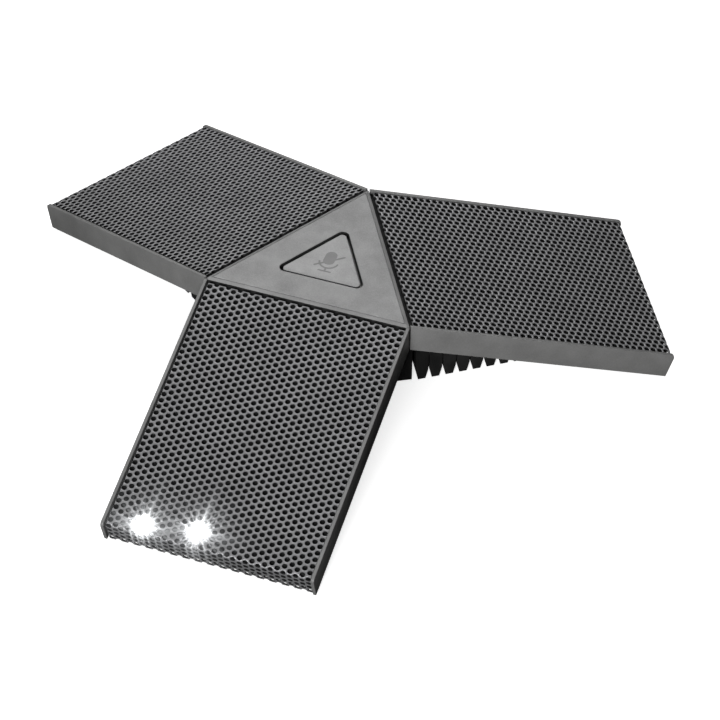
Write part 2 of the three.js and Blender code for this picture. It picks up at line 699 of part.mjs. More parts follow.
PAN_SCREWS.forEach((place, k) => {
  const shape = screw(PAN_SCREW_SEAT - GAP, PILOT_TOP - GAP);
  const fastener = add(root, `pan_screw_${k + 1}`, shape, FINISHES.steel);
  fastener.position.set(place.x, place.y, 0);
});

// The board's screws are driven from above, so they are turned over.
BOARD_SCREWS.forEach((place, k) => {
  const shape = screw(-MAIN_BOARD_TOP - GAP, -PAN_FLOOR_TOP - GAP);
  const fastener = add(root, `board_screw_${k + 1}`, shape, FINISHES.steel);
  fastener.rotation.x = Math.PI;
  fastener.position.set(place.x, place.y, 0);
});

export default root;
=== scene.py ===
"""Looks of a three-winged table microphone pod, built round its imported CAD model.

Lengths are in metres in the frame's own axes: +Z is up, the table is at z = 0 and the front wing
points along -Y. Each wing also has a sloping frame of its own: X across it, Y down its top face
from the centre plate's edge, and Z square to that face.
"""
import json
import math

import bmesh
import bpy
import numpy as np
from mathutils import Matrix, Vector


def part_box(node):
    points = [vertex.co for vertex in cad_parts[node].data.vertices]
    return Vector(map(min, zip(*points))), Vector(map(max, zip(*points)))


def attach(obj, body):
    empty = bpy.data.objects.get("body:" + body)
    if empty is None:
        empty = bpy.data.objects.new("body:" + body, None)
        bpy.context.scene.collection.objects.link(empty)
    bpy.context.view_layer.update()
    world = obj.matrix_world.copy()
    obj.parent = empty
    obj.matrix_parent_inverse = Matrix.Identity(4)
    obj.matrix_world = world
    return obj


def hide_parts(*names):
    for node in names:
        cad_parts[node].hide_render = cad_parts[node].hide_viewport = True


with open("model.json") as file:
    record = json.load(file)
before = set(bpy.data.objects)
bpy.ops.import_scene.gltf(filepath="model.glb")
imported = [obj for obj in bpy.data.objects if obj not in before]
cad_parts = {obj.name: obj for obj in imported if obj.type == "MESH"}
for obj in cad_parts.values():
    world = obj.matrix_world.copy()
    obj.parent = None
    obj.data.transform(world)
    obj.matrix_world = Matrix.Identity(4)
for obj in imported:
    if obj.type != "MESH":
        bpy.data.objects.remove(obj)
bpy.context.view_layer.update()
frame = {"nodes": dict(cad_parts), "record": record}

MM = 0.001

# ---------- sizes, from the frame where it gives them ----------
PLATE_LOW, PLATE_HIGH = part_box("centre_plate")
WING_WIDTH = PLATE_HIGH.x - PLATE_LOW.x
HALF_WIDTH = WING_WIDTH / 2
INRADIUS = WING_WIDTH / (2 * math.sqrt(3))
TOP = PLATE_HIGH.z
SLOPE = math.radians(16.6)
WING_TIP_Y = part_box("arm_shell_front")[0].y
WING_LENGTH = (-WING_TIP_Y - INRADIUS) / math.cos(SLOPE)
RAIL = 0.9 * MM
CAD_GAP = 0.15 * MM  # from the plate's edge to the wings and the frame in the CAD model
WING_GAP = 0.3 * MM  # the same to the shown wings
FRAME_GAP = 0.08 * MM  # and to the shown frame

GRILLE_RECESS = 0.3 * MM
GRILLE_START = 1.2 * MM
GRILLE_BEND = 1.2 * MM
GRILLE_THICKNESS = 0.5 * MM
GRILLE_HALF_WIDTH = HALF_WIDTH - RAIL - 0.4 * MM
GRILLE_SHIFT = {"front": -0.25 * MM, "right": 0.0, "left": 0.2 * MM}  # play across each wing
GRILLE_FOOT = 7.9 * MM
GRILLE_TIP_GAP = 0.1 * MM
CLOTH_DEPTH = 1.25 * MM
CLOTH_THICKNESS = 0.2 * MM
CLOTH_BEND = 0.6 * MM
CLOTH_FOOT = 7.5 * MM
CLOTH_START = 0.2 * MM
CLOTH_HALF_WIDTH = HALF_WIDTH - RAIL - 0.05 * MM
CLOTH_TIP = WING_LENGTH - 1.0 * MM
HOLE_COLUMNS = 33
HOLE_COLUMN_STEP = 1.75 * MM
HOLE_ROWS = 43
HOLE_RADIUS = 0.75 * MM
HOLE_EDGE = 0.1 * MM  # width of the rounding of each hole's rim
HOLE_EDGE_DROP = 0.065 * MM  # and its depth
HOLE_SIDES = 12

KEY_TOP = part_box("mute_key")[1].z
KEY_CENTRE_Y = 0.6 * MM
APERTURE_INRADIUS = 7.8 * MM
APERTURE_CORNER = 1.8 * MM
APERTURE_ROUND = 0.15 * MM  # rounding of the opening's upper edge
SIGN_THICKNESS = 0.015 * MM
SIGN_ROOT = 0.02 * MM  # how far the printed sign reaches into the key
SIGN_LAYER = 0.002 * MM  # between one part of the sign and the next

PLATE_CORNER = 0.25 * MM
EDGE_CLEARANCE = 0.02 * MM  # inside the CAD plate's outer wall
EDGE_ROUND = 0.12 * MM
BEVEL = 0.9 * MM
BEVEL_DROP = 0.38 * MM
BEVEL_TOP_DROP = 0.03 * MM
CREASE_WIDTH = 0.3 * MM
CREASE_DEPTH = 0.3 * MM

# a black lining in the key's opening: painted shade for its shadowed gap
KEY_SHADE_THICKNESS = 0.12 * MM
KEY_SHADE_TOP_DROP = 0.1 * MM
KEY_SHADE_LIP_DROP = 0.1 * MM
KEY_SHADE_HEIGHT = 1.6 * MM
KEY_SHADE_CLEARANCE = 0.01 * MM
PLATE_SHADE_BAND_HALF = 0.03 * MM  # half the thickness of the black band of painted shade on the plate's wall
PLATE_SHADE_BAND_DROP = 0.15 * MM  # from the bevel's foot

ARMS = {"front": -90, "right": 30, "left": 150}


# ---------- frames ----------
def arm_matrix(name):
    """A wing's upright frame: X across it, Y outwards from the plate's edge, Z up."""
    angle = math.radians(ARMS[name])
    place = Vector((math.cos(angle), math.sin(angle), 0)) * INRADIUS
    return Matrix.Translation(place) @ Matrix.Rotation(angle - math.pi / 2, 4, "Z")


def slope_matrix(name):
    """A wing's sloping frame."""
    return arm_matrix(name) @ Matrix.Translation((0, 0, TOP)) @ Matrix.Rotation(-SLOPE, 4, "X")


# ---------- shader building ----------
class Shader:
    """A node material whose nodes are added by short calls."""

    def __init__(self, name):
        self.material = bpy.data.materials.new(name)
        self.material.use_nodes = True
        self.nodes = self.material.node_tree.nodes
        self.links = self.material.node_tree.links
        self.nodes.clear()
        self.output = self.nodes.new("ShaderNodeOutputMaterial")
        self.surface = self.nodes.new("ShaderNodeBsdfPrincipled")
        self.links.new(self.surface.outputs[0], self.output.inputs[0])
        self.place = self.nodes.new("ShaderNodeTexCoord").outputs["Object"]

    def set(self, **values):
        for key, value in values.items():
            label = key.upper() if key == "ior" else key.replace("_", " ").title()
            self.put(value, self.surface.inputs[label])

    def put(self, value, socket):
        if isinstance(value, bpy.types.NodeSocket):
            self.links.new(value, socket)
        else:
            socket.default_value = value

    def noise(self, size, detail=2.0, roughness=0.5, place=None):
        """A noise from 0 to 1 whose features are about `size` across."""
        node = self.nodes.new("ShaderNodeTexNoise")
        self.put(place or self.place, node.inputs["Vector"])
        node.inputs["Scale"].default_value = 1 / size
        node.inputs["Detail"].default_value = detail
        node.inputs["Roughness"].default_value = roughness
        return node.outputs["Fac"]

    def math(self, kind, *values, clamp=False):
        node = self.nodes.new("ShaderNodeMath")
        node.operation = kind
        node.use_clamp = clamp
        for value, socket in zip(values, node.inputs):
            self.put(value, socket)
        return node.outputs[0]

    def vector(self, kind, *values, output=0):
        node = self.nodes.new("ShaderNodeVectorMath")
        node.operation = kind
        for value, socket in zip(values, node.inputs):
            self.put(value, socket)
        return node.outputs[output]

    def between(self, fac, low, high, start=0.0, end=1.0):
        """Maps `fac` from start...end to low...high."""
        node = self.nodes.new("ShaderNodeMapRange")
        self.put(fac, node.inputs["Value"])
        node.inputs["From Min"].default_value = start
        node.inputs["From Max"].default_value = end
        node.inputs["To Min"].default_value = low
        node.inputs["To Max"].default_value = high
        return node.outputs["Result"]

    def blend(self, fac, first, second):
        node = self.nodes.new("ShaderNodeMix")
        node.data_type = "RGBA"
        self.put(fac, node.inputs["Factor"])
        self.put(first, node.inputs["A"])
        self.put(second, node.inputs["B"])
        return node.outputs["Result"]

    def bump(self, height, depth, strength=1.0, under=None):
        node = self.nodes.new("ShaderNodeBump")
        self.put(height, node.inputs["Height"])
        node.inputs["Distance"].default_value = depth
        node.inputs["Strength"].default_value = strength
        if under:
            self.put(under, node.inputs["Normal"])
        return node.outputs["Normal"]


def grey(level, tint=(1.0, 1.0, 1.0)):
    return (level * tint[0], level * tint[1], level * tint[2], 1.0)


def moulded(name, level, roughness, grain=0.4 * MM, depth=0.05 * MM, tint=(1, 1, 1), spread=0.16):
    """Spark-eroded moulded plastic: a fine even grain, faint mottling and a slightly uneven sheen."""
    shader = Shader(name)
    mottle = shader.noise(9 * MM, detail=4)
    speck = shader.noise(grain, detail=3, roughness=0.6)
    tone = shader.math("ADD", shader.math("MULTIPLY", mottle, 0.6), shader.math("MULTIPLY", speck, 0.4))
    tone = shader.between(tone, 0, 1, 0.35, 0.65)
    colour = shader.blend(tone, grey(level * (1 - spread), tint), grey(level * (1 + spread), tint))
    sheen = shader.between(shader.noise(3 * MM, detail=3), roughness - 0.06, roughness + 0.06, 0.3, 0.7)
    normal = shader.bump(speck, depth, 0.7)
    shader.set(base_color=colour, roughness=sheen, normal=normal)
    return shader.material


def painted_sheet(name, level, tint=(1, 1, 1), glow=None):
    """Satin paint over perforated steel, with a fine orange-peel grain."""
    shader = Shader(name)
    peel = shader.noise(0.3 * MM, detail=2)
    drift = shader.noise(14 * MM, detail=3)
    tone = shader.between(drift, 0, 1, 0.35, 0.65)
    colour = shader.blend(tone, grey(level * 0.93, tint), grey(level * 1.07, tint))
    shader.set(
        base_color=colour,
        metallic=0.35,
        roughness=shader.between(peel, 0.36, 0.5, 0.3, 0.7),
        normal=shader.bump(peel, 0.01 * MM, 0.5),
    )
    # painted glow: emission round the status lights' glints, when asked for
    if glow:
        add_painted_glow(shader, glow)
    return shader.material


def woven_cloth(name, level, thread=0.16 * MM, glow=None):
    """Close plain weave of dull black thread."""
    shader = Shader(name)
    turned = shader.vector("MULTIPLY", shader.place, (1.0, 1.0, 0.35))
    split = shader.nodes.new("ShaderNodeSeparateXYZ")
    shader.put(turned, split.inputs[0])
    turns = 2 * math.pi / (2 * thread)
    warp = shader.math("SINE", shader.math("MULTIPLY", split.outputs[0], turns))
    weft = shader.math("SINE", shader.math("MULTIPLY", split.outputs[1], turns))
    weave = shader.math("MULTIPLY", warp, weft)
    height = shader.between(weave, 0, 1, -1, 1)
    colour = shader.blend(height, grey(level * 0.5), grey(level * 1.6))
    shader.set(
        base_color=colour,
        roughness=shader.between(shader.noise(1.2 * MM), 0.85, 0.98),
        normal=shader.bump(height, 0.05 * MM, 0.8),
    )
    # painted glow: emission round the status lights' glints, when asked for
    if glow:
        add_painted_glow(shader, glow)
    return shader.material


def rubbery(name, level):
    """Matte black elastomer with a dusty bloom."""
    shader = Shader(name)
    bloom = shader.noise(6 * MM, detail=5, roughness=0.6)
    grain = shader.noise(0.15 * MM, detail=2)
    colour = shader.blend(
        shader.between(bloom, 0, 1, 0.35, 0.7), grey(level * 0.8), grey(level * 1.5)
    )
    shader.set(
        base_color=colour,
        roughness=shader.between(bloom, 0.68, 0.86, 0.3, 0.7),
        normal=shader.bump(grain, 0.015 * MM, 0.6),
    )
    return shader.material


def brushed_metal(name, colour, roughness=0.3):
    """Plated steel with fine random scratches along X."""
    shader = Shader(name)
    stretched = shader.vector("MULTIPLY", shader.place, (0.12, 1.0, 1.0))
    scratch = shader.noise(0.06 * MM, detail=2, place=stretched)
    tone = shader.blend(scratch, tuple(0.85 * c for c in colour) + (1,), tuple(colour) + (1,))
    shader.set(
        base_color=tone,
        metallic=1.0,
        roughness=shader.between(scratch, roughness - 0.06, roughness + 0.1),
        normal=shader.bump(scratch, 0.004 * MM, 0.4),
    )
    return shader.material


def circuit_board(name):
    """Green solder mask over routed copper, whose tracks show as slightly raised, lighter lines."""
    shader = Shader(name)
    split = shader.nodes.new("ShaderNodeSeparateXYZ")
    shader.put(shader.place, split.inputs[0])
    turns = 2 * math.pi / (1.1 * MM)
    lines = shader.math("SINE", shader.math("MULTIPLY", split.outputs[0], turns))
    zone = shader.math("GREATER_THAN", shader.noise(4 * MM, detail=0), 0.5)
    tracks = shader.math("MULTIPLY", shader.math("GREATER_THAN", lines, 0.35), zone)
    colour = shader.blend(tracks, (0.008, 0.07, 0.025, 1), (0.02, 0.15, 0.05, 1))
    shader.set(
        base_color=colour,
        roughness=shader.between(shader.noise(2 * MM), 0.25, 0.4),
        normal=shader.bump(tracks, 0.03 * MM, 0.6),
    )
    return shader.material


def flat_cable(name):
    """Pale polyester film over parallel conductors."""
    shader = Shader(name)
    split = shader.nodes.new("ShaderNodeSeparateXYZ")
    shader.put(shader.place, split.inputs[0])
    turns = 2 * math.pi / (1.0 * MM)
    stripe = shader.math("SINE", shader.math("MULTIPLY", split.outputs[0], turns))
    colour = shader.blend(shader.between(stripe, 0, 1, -1, 1), (0.62, 0.6, 0.53, 1), (0.5, 0.45, 0.36, 1))
    shader.set(base_color=colour, roughness=shader.between(shader.noise(3 * MM), 0.35, 0.5))
    return shader.material


def lit_package(name, strength):
    """A white diode package: a lit phosphor window with slightly uneven brightness."""
    shader = Shader(name)
    uneven = shader.noise(0.5 * MM, detail=1)
    shader.set(
        base_color=shader.blend(uneven, (0.9, 0.92, 0.98, 1), (1, 1, 1, 1)),
        roughness=shader.between(uneven, 0.25, 0.4),
        emission_color=shader.blend(uneven, (0.92, 0.96, 1.0, 1), (1, 1, 1, 1)),
        emission_strength=strength,
    )
    return shader.material


def clear_lens(name):
    shader = Shader(name)
    haze = shader.noise(0.8 * MM, detail=2)
    shader.set(
        base_color=shader.blend(haze, (0.9, 0.94, 1.0, 1), (1, 1, 1, 1)),
        roughness=shader.between(haze, 0.05, 0.14),
        transmission_weight=0.85,
        ior=1.49,
    )
    return shader.material


def silver_film(name):
    shader = Shader(name)
    haze = shader.noise(5 * MM, detail=3)
    shader.set(
        base_color=shader.blend(haze, grey(0.42), grey(0.5)),
        metallic=0.4,
        roughness=shader.between(haze, 0.4, 0.5),
    )
    return shader.material


# ---------- painted glow: the status lights' glints, painted as emission on the grille and its cloth ---
PAINTED_GLINT_CENTRES = ((-18.9 * MM, 77.1 * MM), (-4.2 * MM, 74.7 * MM))  # centres of the painted glints, across and down the front wing
# sizes of the painted glow's core, haze and star rays
GLOW_CORE = 1.6 * MM
GLOW_EDGE = 4.2 * MM
GLOW_FADE = 2.0 * MM
RAY_LENGTH = 2.4 * MM
RAYS = ((13, 0.4), (18, 1.3), (4, 0.0))  # sets of painted star rays round each glint, and their turn


def add_painted_glow(shader, strength):
    """Painted glow: emission on the surface itself, a white core that fades out in fine painted star
    rays, in place of light from behind the grille.
    """
    tip = Vector((0, -math.cos(SLOPE), -math.sin(SLOPE)))
    total = 0.0
    for x, along in PAINTED_GLINT_CENTRES:
        centre = Vector((0, -INRADIUS, TOP)) + tip * along + Vector((x, 0, 0))
        offset = shader.vector("SUBTRACT", shader.place, centre)
        down = shader.vector("DOT_PRODUCT", offset, tip, output=1)
        side = shader.vector("DOT_PRODUCT", offset, (1.0, 0.0, 0.0), output=1)
        angle = shader.math("ARCTAN2", down, side)
        distance = shader.vector("LENGTH", offset, output=1)
        core = shader.between(distance, 1.0, 0.0, GLOW_CORE, GLOW_EDGE)
        haze = shader.math("EXPONENT", shader.math("DIVIDE", distance, -GLOW_FADE))
        rays = 0.0
        for count, turn in RAYS:
            turned = shader.math("MULTIPLY_ADD", angle, count / 2, turn)
            sharp = shader.math("POWER", shader.math("ABSOLUTE", shader.math("COSINE", turned)), 14.0)
            rays = shader.math("ADD", rays, sharp)
        reach = shader.math("EXPONENT", shader.math("DIVIDE", distance, -RAY_LENGTH))
        streaks = shader.math("MULTIPLY", reach, rays)
        here = shader.math("MULTIPLY_ADD", core, 0.7, shader.math("MULTIPLY_ADD", haze, 0.5, streaks))
        total = shader.math("ADD", total, here)
    shader.set(emission_color=(0.96, 0.98, 1.0, 1.0))
    shader.set(emission_strength=shader.math("MULTIPLY", total, strength))


MATERIALS = {
    "shell": moulded("moulded_shell", 0.20, 0.5, tint=(1, 1, 0.99)),
    "plate": moulded("moulded_plate", 0.27, 0.55, grain=0.35 * MM, spread=0.2),
    "key": moulded("moulded_key", 0.33, 0.52, grain=0.35 * MM, depth=0.04 * MM, spread=0.2),
    "ink": moulded("printed_ink", 0.2, 0.6, grain=0.2 * MM, depth=0.004 * MM),
    "grille": painted_sheet("grille_paint", 0.25, tint=(1, 1, 1.03)),
    # painted shade: hole walls, sheet edges and the back darkened to stand for the shade in the holes,
    # with painted glow near the status lights
    "hole_wall_shade_and_glow": painted_sheet("hole_wall_painted_shade_and_glow", 0.03, glow=1.2),
    # copies of the paint and the cloth with painted glow round the status lights, for the front wing
    "grille_painted_glow": painted_sheet("grille_paint_painted_glow", 0.25, tint=(1, 1, 1.03), glow=1.9),
    "cloth": woven_cloth("acoustic_cloth", 0.008),
    "cloth_painted_glow": woven_cloth("acoustic_cloth_painted_glow", 0.008, glow=2.4),
    "rubber": rubbery("foot_rubber", 0.007),
    "pan": moulded("moulded_pan", 0.012, 0.65, grain=0.3 * MM, depth=0.03 * MM),
    "black_plastic": moulded("moulded_black", 0.018, 0.42, grain=0.4 * MM, depth=0.01 * MM),
    "steel": brushed_metal("plated_steel", (0.56, 0.57, 0.59)),
    "board": circuit_board("solder_mask"),
    "ribbon": flat_cable("flat_cable_film"),
    "led": lit_package("lit_diode", 4.0),
    "lens": clear_lens("light_pipe"),
    "label": silver_film("blank_label_film"),
}


# ---------- pieces ----------
def new_piece(name, mesh, material, body="pod"):
    piece = bpy.data.objects.new(name, mesh)
    bpy.context.scene.collection.objects.link(piece)
    mesh.materials.clear()
    mesh.materials.append(MATERIALS[material])
    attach(piece, body)
    return piece


def shade(mesh, angle=35):
    mesh.shade_smooth()
    mesh.set_sharp_from_angle(angle=math.radians(angle))


def soften(bm, width, segments=3, angle=20):
    """Joins flat faces into one and rounds every edge sharper than `angle` degrees."""
    bmesh.ops.remove_doubles(bm, verts=bm.verts, dist=0.002 * MM)
    bmesh.ops.dissolve_limit(
        bm, angle_limit=math.radians(1), verts=bm.verts, edges=bm.edges, delimit=set()
    )
    bm.normal_update()
    edges = [
        e for e in bm.edges if len(e.link_faces) == 2 and e.calc_face_angle(0) > math.radians(angle)
    ]
    bmesh.ops.bevel(
        bm, geom=edges, offset=width, segments=segments, profile=0.5, affect="EDGES", clamp_overlap=True
    )


def refined(name, node, material, width, segments=3, move=None, body="pod", angle=20):
    """A piece with a CAD node's shape and softly rounded edges, shown in its place."""
    bm = bmesh.new()
    bm.from_mesh(frame["nodes"][node].data)
    if move:
        for vertex in bm.verts:
            vertex.co = move(vertex.co)
    soften(bm, width, segments, angle)
    mesh = bpy.data.meshes.new(name)
    bm.to_mesh(mesh)
    bm.free()
    shade(mesh)
    piece = new_piece(name, mesh, material, body)
    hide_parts(node)
    return piece


def end_at_shown_gap(arm):
    """Moves a wing's plumb end face to its shown gap from the plate's edge."""
    to_arm = arm_matrix(arm).inverted()
    back = arm_matrix(arm)

    def move(point):
        local = to_arm @ point
        if abs(local.y - CAD_GAP) < 0.01 * MM:
            local.y = WING_GAP
        return back @ local

    return move


def frame_to_edge(point):
    """Moves the hub frame's outer walls to their shown gap from the plate's edge."""
    moved = point.copy()
    for angle in ARMS.values():
        out = Vector((math.cos(math.radians(angle)), math.sin(math.radians(angle)), 0))
        if abs(point.dot(out) - (INRADIUS - CAD_GAP)) < 0.01 * MM:
            moved += out * (CAD_GAP - FRAME_GAP)
    return moved


# ---------- the perforated grilles ----------
class Sheet:
    """The bent sheet's outline: where a point `s` along it and `t` above its face lies."""

    def __init__(self):
        self.tip = WING_LENGTH - GRILLE_TIP_GAP
        self.flat = self.tip - GRILLE_BEND - GRILLE_START
        self.arc = GRILLE_BEND * math.pi / 2
        self.drop = GRILLE_FOOT - GRILLE_RECESS - GRILLE_BEND
        self.length = self.flat + self.arc + self.drop

    def at(self, x, s, t):
        turn = np.clip((s - self.flat) / GRILLE_BEND, 0, math.pi / 2)
        before = np.minimum(s, self.flat) + GRILLE_START
        beyond = np.maximum(s - self.flat - self.arc, 0)
        radius = GRILLE_BEND + t
        y = before + radius * np.sin(turn)
        z = -GRILLE_RECESS - GRILLE_BEND + radius * np.cos(turn) - beyond
        return np.stack([x, y, z], axis=-1)


def perforated_face(sheet):
    """Vertices (x, s, t) and faces of the sheet's top face, with each hole's rim.

    The holes stand on a triangular lattice, in columns down the wing. Each has a brick-shaped cell
    with six corners, so that a column's cells meet those of the next, which lie half a cell on.
    A half cell at either end of every other column holds half a hole, so the ends are scalloped.
    """
    pitch = sheet.length / HOLE_ROWS
    points = []
    faces = []
    corners = {}

    def corner(column, step):
        key = (column, step)
        if key not in corners:
            x = (column - HOLE_COLUMNS / 2) * HOLE_COLUMN_STEP
            x = max(-GRILLE_HALF_WIDTH, min(GRILLE_HALF_WIDTH, x))
            corners[key] = len(points)
            points.append((x, step * pitch / 2, 0.0))
        return corners[key]

    def rim(x, s, angles):
        first = len(points)
        for radius, t in ((HOLE_RADIUS + HOLE_EDGE, 0.0), (HOLE_RADIUS, -HOLE_EDGE_DROP)):
            for angle in angles:
                points.append((x + radius * math.cos(angle), s + radius * math.sin(angle), t))
        return first

    def whole(column, step):
        x = (column - (HOLE_COLUMNS - 1) / 2) * HOLE_COLUMN_STEP
        angles = [2 * math.pi * (k - 4.5) / HOLE_SIDES for k in range(HOLE_SIDES)]
        first = rim(x, (step + 1) * pitch / 2, angles)
        outer = [
            corner(column, step),
            corner(column + 1, step),
            corner(column + 1, step + 1),
            corner(column + 1, step + 2),
            corner(column, step + 2),
            corner(column, step + 1),
        ]
        for k in range(6):
            a = first + 2 * k
            b = first + (2 * k + 1) % HOLE_SIDES
            c = first + (2 * k + 2) % HOLE_SIDES
            faces.append((outer[k], b, a))
            faces.append((outer[k], outer[(k + 1) % 6], c, b))
        for k in range(HOLE_SIDES):
            a, b = first + k, first + (k + 1) % HOLE_SIDES
            faces.append((a, b, b + HOLE_SIDES, a + HOLE_SIDES))

    def half(column, step, at_start):
        x = (column - (HOLE_COLUMNS - 1) / 2) * HOLE_COLUMN_STEP
        s = (step if at_start else step + 1) * pitch / 2
        turn = 0 if at_start else math.pi
        count = HOLE_SIDES // 2 + 1
        angles = [turn + math.pi * k / (count - 1) for k in range(count)]
        first = rim(x, s, angles)
        near, far = (column + 1, column) if at_start else (column, column + 1)
        low, high = (step, step + 1) if at_start else (step + 1, step)
        a, b, c, d = corner(near, low), corner(near, high), corner(far, high), corner(far, low)
        ring = [first + k for k in range(count)]
        faces.append((a, b, ring[2], ring[1], ring[0]))
        faces.append((b, c, ring[4], ring[3], ring[2]))
        faces.append((c, d, ring[6], ring[5], ring[4]))
        for k in range(count - 1):
            p, q = first + k, first + k + 1
            faces.append((p, q, q + count, p + count))

    for column in range(HOLE_COLUMNS):
        if column % 2 == 0:
            for row in range(HOLE_ROWS):
                whole(column, 2 * row)
        else:
            half(column, 0, True)
            for row in range(HOLE_ROWS - 1):
                whole(column, 2 * row + 1)
            half(column, 2 * HOLE_ROWS - 1, False)
    return np.array(points), faces


def closed_sheet(top, bottom, faces):
    """Closes two matching layers of points, with `faces` on the top one, into one thin body."""
    count = len(top)
    used = {(a, b): True for face in faces for a, b in zip(face, face[1:] + face[:1])}
    walls = [(b, a, a + count, b + count) for a, b in used if (b, a) not in used]
    under = [tuple(k + count for k in reversed(face)) for face in faces]
    return list(top) + list(bottom), faces + walls + under


def make_grilles():
    sheet = Sheet()
    top, faces = perforated_face(sheet)
    bottom = top * (1, 1, 0) - (0, 0, GRILLE_THICKNESS)
    points, faces = closed_sheet(top, bottom, faces)
    points = np.array(points)
    placed = sheet.at(points[:, 0], points[:, 1], points[:, 2])
    rim_level = -HOLE_EDGE_DROP - 0.01 * MM
    inner = [int(min(points[k][2] for k in face) < rim_level) for face in faces]
    for arm in ARMS:
        name = f"perforated_grille_{arm}"
        mesh = bpy.data.meshes.new(name)
        mesh.from_pydata(placed.tolist(), [], faces)
        mesh.transform(slope_matrix(arm) @ Matrix.Translation((GRILLE_SHIFT[arm], 0, 0)))
        mesh.validate()
        shade(mesh, 40)
        # the front wing's grille takes the copy with painted glow
        lit = arm == "front"
        piece = new_piece(name, mesh, "grille_painted_glow" if lit else "grille")
        mesh.materials.append(MATERIALS["hole_wall_shade_and_glow"])
        mesh.polygons.foreach_set("material_index", inner)  # painted shade on hole walls, edges and the back
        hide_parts(f"grille_{arm}")


def make_cloths():
    """The acoustic cloth under each grille: a thin sheet with a fine sag between its supports."""
    across = np.linspace(-CLOTH_HALF_WIDTH, CLOTH_HALF_WIDTH, 25)
    flat_end = CLOTH_TIP - CLOTH_BEND
    profile = [(y, -CLOTH_DEPTH, 0, 1) for y in np.linspace(CLOTH_START, flat_end, 41)]
    for turn in np.linspace(0, math.pi / 2, 6)[1:]:
        y = flat_end + CLOTH_BEND * math.sin(turn)
        z = -CLOTH_DEPTH - CLOTH_BEND * (1 - math.cos(turn))
        profile.append((y, z, math.sin(turn), math.cos(turn)))
    profile += [(CLOTH_TIP, z, 1, 0) for z in np.linspace(profile[-1][1], -CLOTH_FOOT, 5)[1:]]
    rows, columns = len(profile), len(across)
    top = []
    bottom = []
    for y, z, out_y, out_z in profile:
        for x in across:
            edge = 1 - (x / CLOTH_HALF_WIDTH) ** 2
            ripple = math.sin(190 * x + 310 * y) * math.sin(240 * y - 130 * x)
            sag = 0.04 * MM * edge * (1 + ripple)
            for points, depth in ((top, sag), (bottom, sag + CLOTH_THICKNESS)):
                points.append((x, y - depth * out_y, z - depth * out_z))
    grid = [
        (r * columns + c, (r + 1) * columns + c, (r + 1) * columns + c + 1, r * columns + c + 1)
        for r in range(rows - 1)
        for c in range(columns - 1)
    ]
    grid = [tuple(reversed(face)) for face in grid]
    points, faces = closed_sheet(top, bottom, grid)
    for arm in ARMS:
        name = f"acoustic_cloth_{arm}"
        mesh = bpy.data.meshes.new(name)
        mesh.from_pydata(points, [], faces)
        mesh.transform(slope_matrix(arm))
        shade(mesh, 50)
        # the front wing's cloth takes the copy with painted glow
        piece = new_piece(name, mesh, "cloth_painted_glow" if arm == "front" else "cloth")
        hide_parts(f"grille_cloth_{arm}")


# ---------- the painted shade in the mute key's opening, and the key's printed sign ---
def rounded_triangle(inradius, corner, steps=10):
    """The outline of a triangle with round corners, one of them towards +Y, as (x, y) points."""
    outline = []
    for k in range(3):
        towards = math.radians(90 + 120 * k)
        reach = 2 * (inradius - corner)
        for j in range(steps + 1):
            angle = towards + math.radians(60) * (2 * j / steps - 1)
            x = reach * math.cos(towards) + corner * math.cos(angle)
            y = reach * math.sin(towards) + corner * math.sin(angle)
            outline.append((x, y + KEY_CENTRE_Y))
    return outline


def plate_outline(inradius, steps=10):
    """An outline round the plate's centre, with as many points as the opening's outline has."""
    outline = rounded_triangle(inradius, PLATE_CORNER, steps)
    return [(x, y - KEY_CENTRE_Y) for x, y in outline]


def ringed(name, rings, material, node=None, angle=28):
    """A closed ring-shaped piece through outlines of equal counts, each at its height."""
    count = len(rings[0][0])
    points = [(x, y, z) for ring, z in rings for x, y in ring]
    faces = []
    for r in range(len(rings)):
        a, b = r * count, ((r + 1) % len(rings)) * count
        for k in range(count):
            n = (k + 1) % count
            faces.append((a + k, a + n, b + n, b + k))
    mesh = bpy.data.meshes.new(name)
    mesh.from_pydata(points, [], faces)
    shade(mesh, angle)
    piece = new_piece(name, mesh, material)
    if node:
        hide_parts(node)
    return piece


def make_top_plate():
    """The plate: a flat field, a fine crease round it and a wide shallow bevel outside that."""
    low, high = PLATE_LOW.z, PLATE_HIGH.z
    opening = APERTURE_INRADIUS
    crease = INRADIUS - BEVEL - CREASE_WIDTH
    rings = [
        (plate_outline(INRADIUS - EDGE_CLEARANCE), low),
        (plate_outline(INRADIUS - EDGE_CLEARANCE), high - BEVEL_DROP - EDGE_ROUND),
        (plate_outline(INRADIUS - EDGE_CLEARANCE - EDGE_ROUND), high - BEVEL_DROP),
        (plate_outline(INRADIUS - BEVEL), high - BEVEL_TOP_DROP),
        (plate_outline(crease + 0.6 * CREASE_WIDTH), high - CREASE_DEPTH),
        (plate_outline(crease + 0.4 * CREASE_WIDTH), high - CREASE_DEPTH),
        (plate_outline(crease), high),
        (rounded_triangle(opening + APERTURE_ROUND, APERTURE_CORNER + APERTURE_ROUND), high),
        (rounded_triangle(opening + 0.04 * MM, APERTURE_CORNER + 0.04 * MM), high - 0.04 * MM),
        (rounded_triangle(opening, APERTURE_CORNER), high - APERTURE_ROUND),
        (rounded_triangle(opening, APERTURE_CORNER), low),
    ]
    ringed("top_plate", rings, "plate", "centre_plate", 12)


def make_plate_shade_band():
    """A thin black band of painted shade on the plate's outer wall, below its bevel."""
    high = PLATE_HIGH.z - BEVEL_DROP - PLATE_SHADE_BAND_DROP
    outer, inner = INRADIUS + PLATE_SHADE_BAND_HALF, INRADIUS - PLATE_SHADE_BAND_HALF
    rings = [
        (plate_outline(inner), PLATE_LOW.z),
        (plate_outline(outer), PLATE_LOW.z),
        (plate_outline(outer), high),
        (plate_outline(inner), high),
    ]
    ringed("plate_shade_band", rings, "rubber")


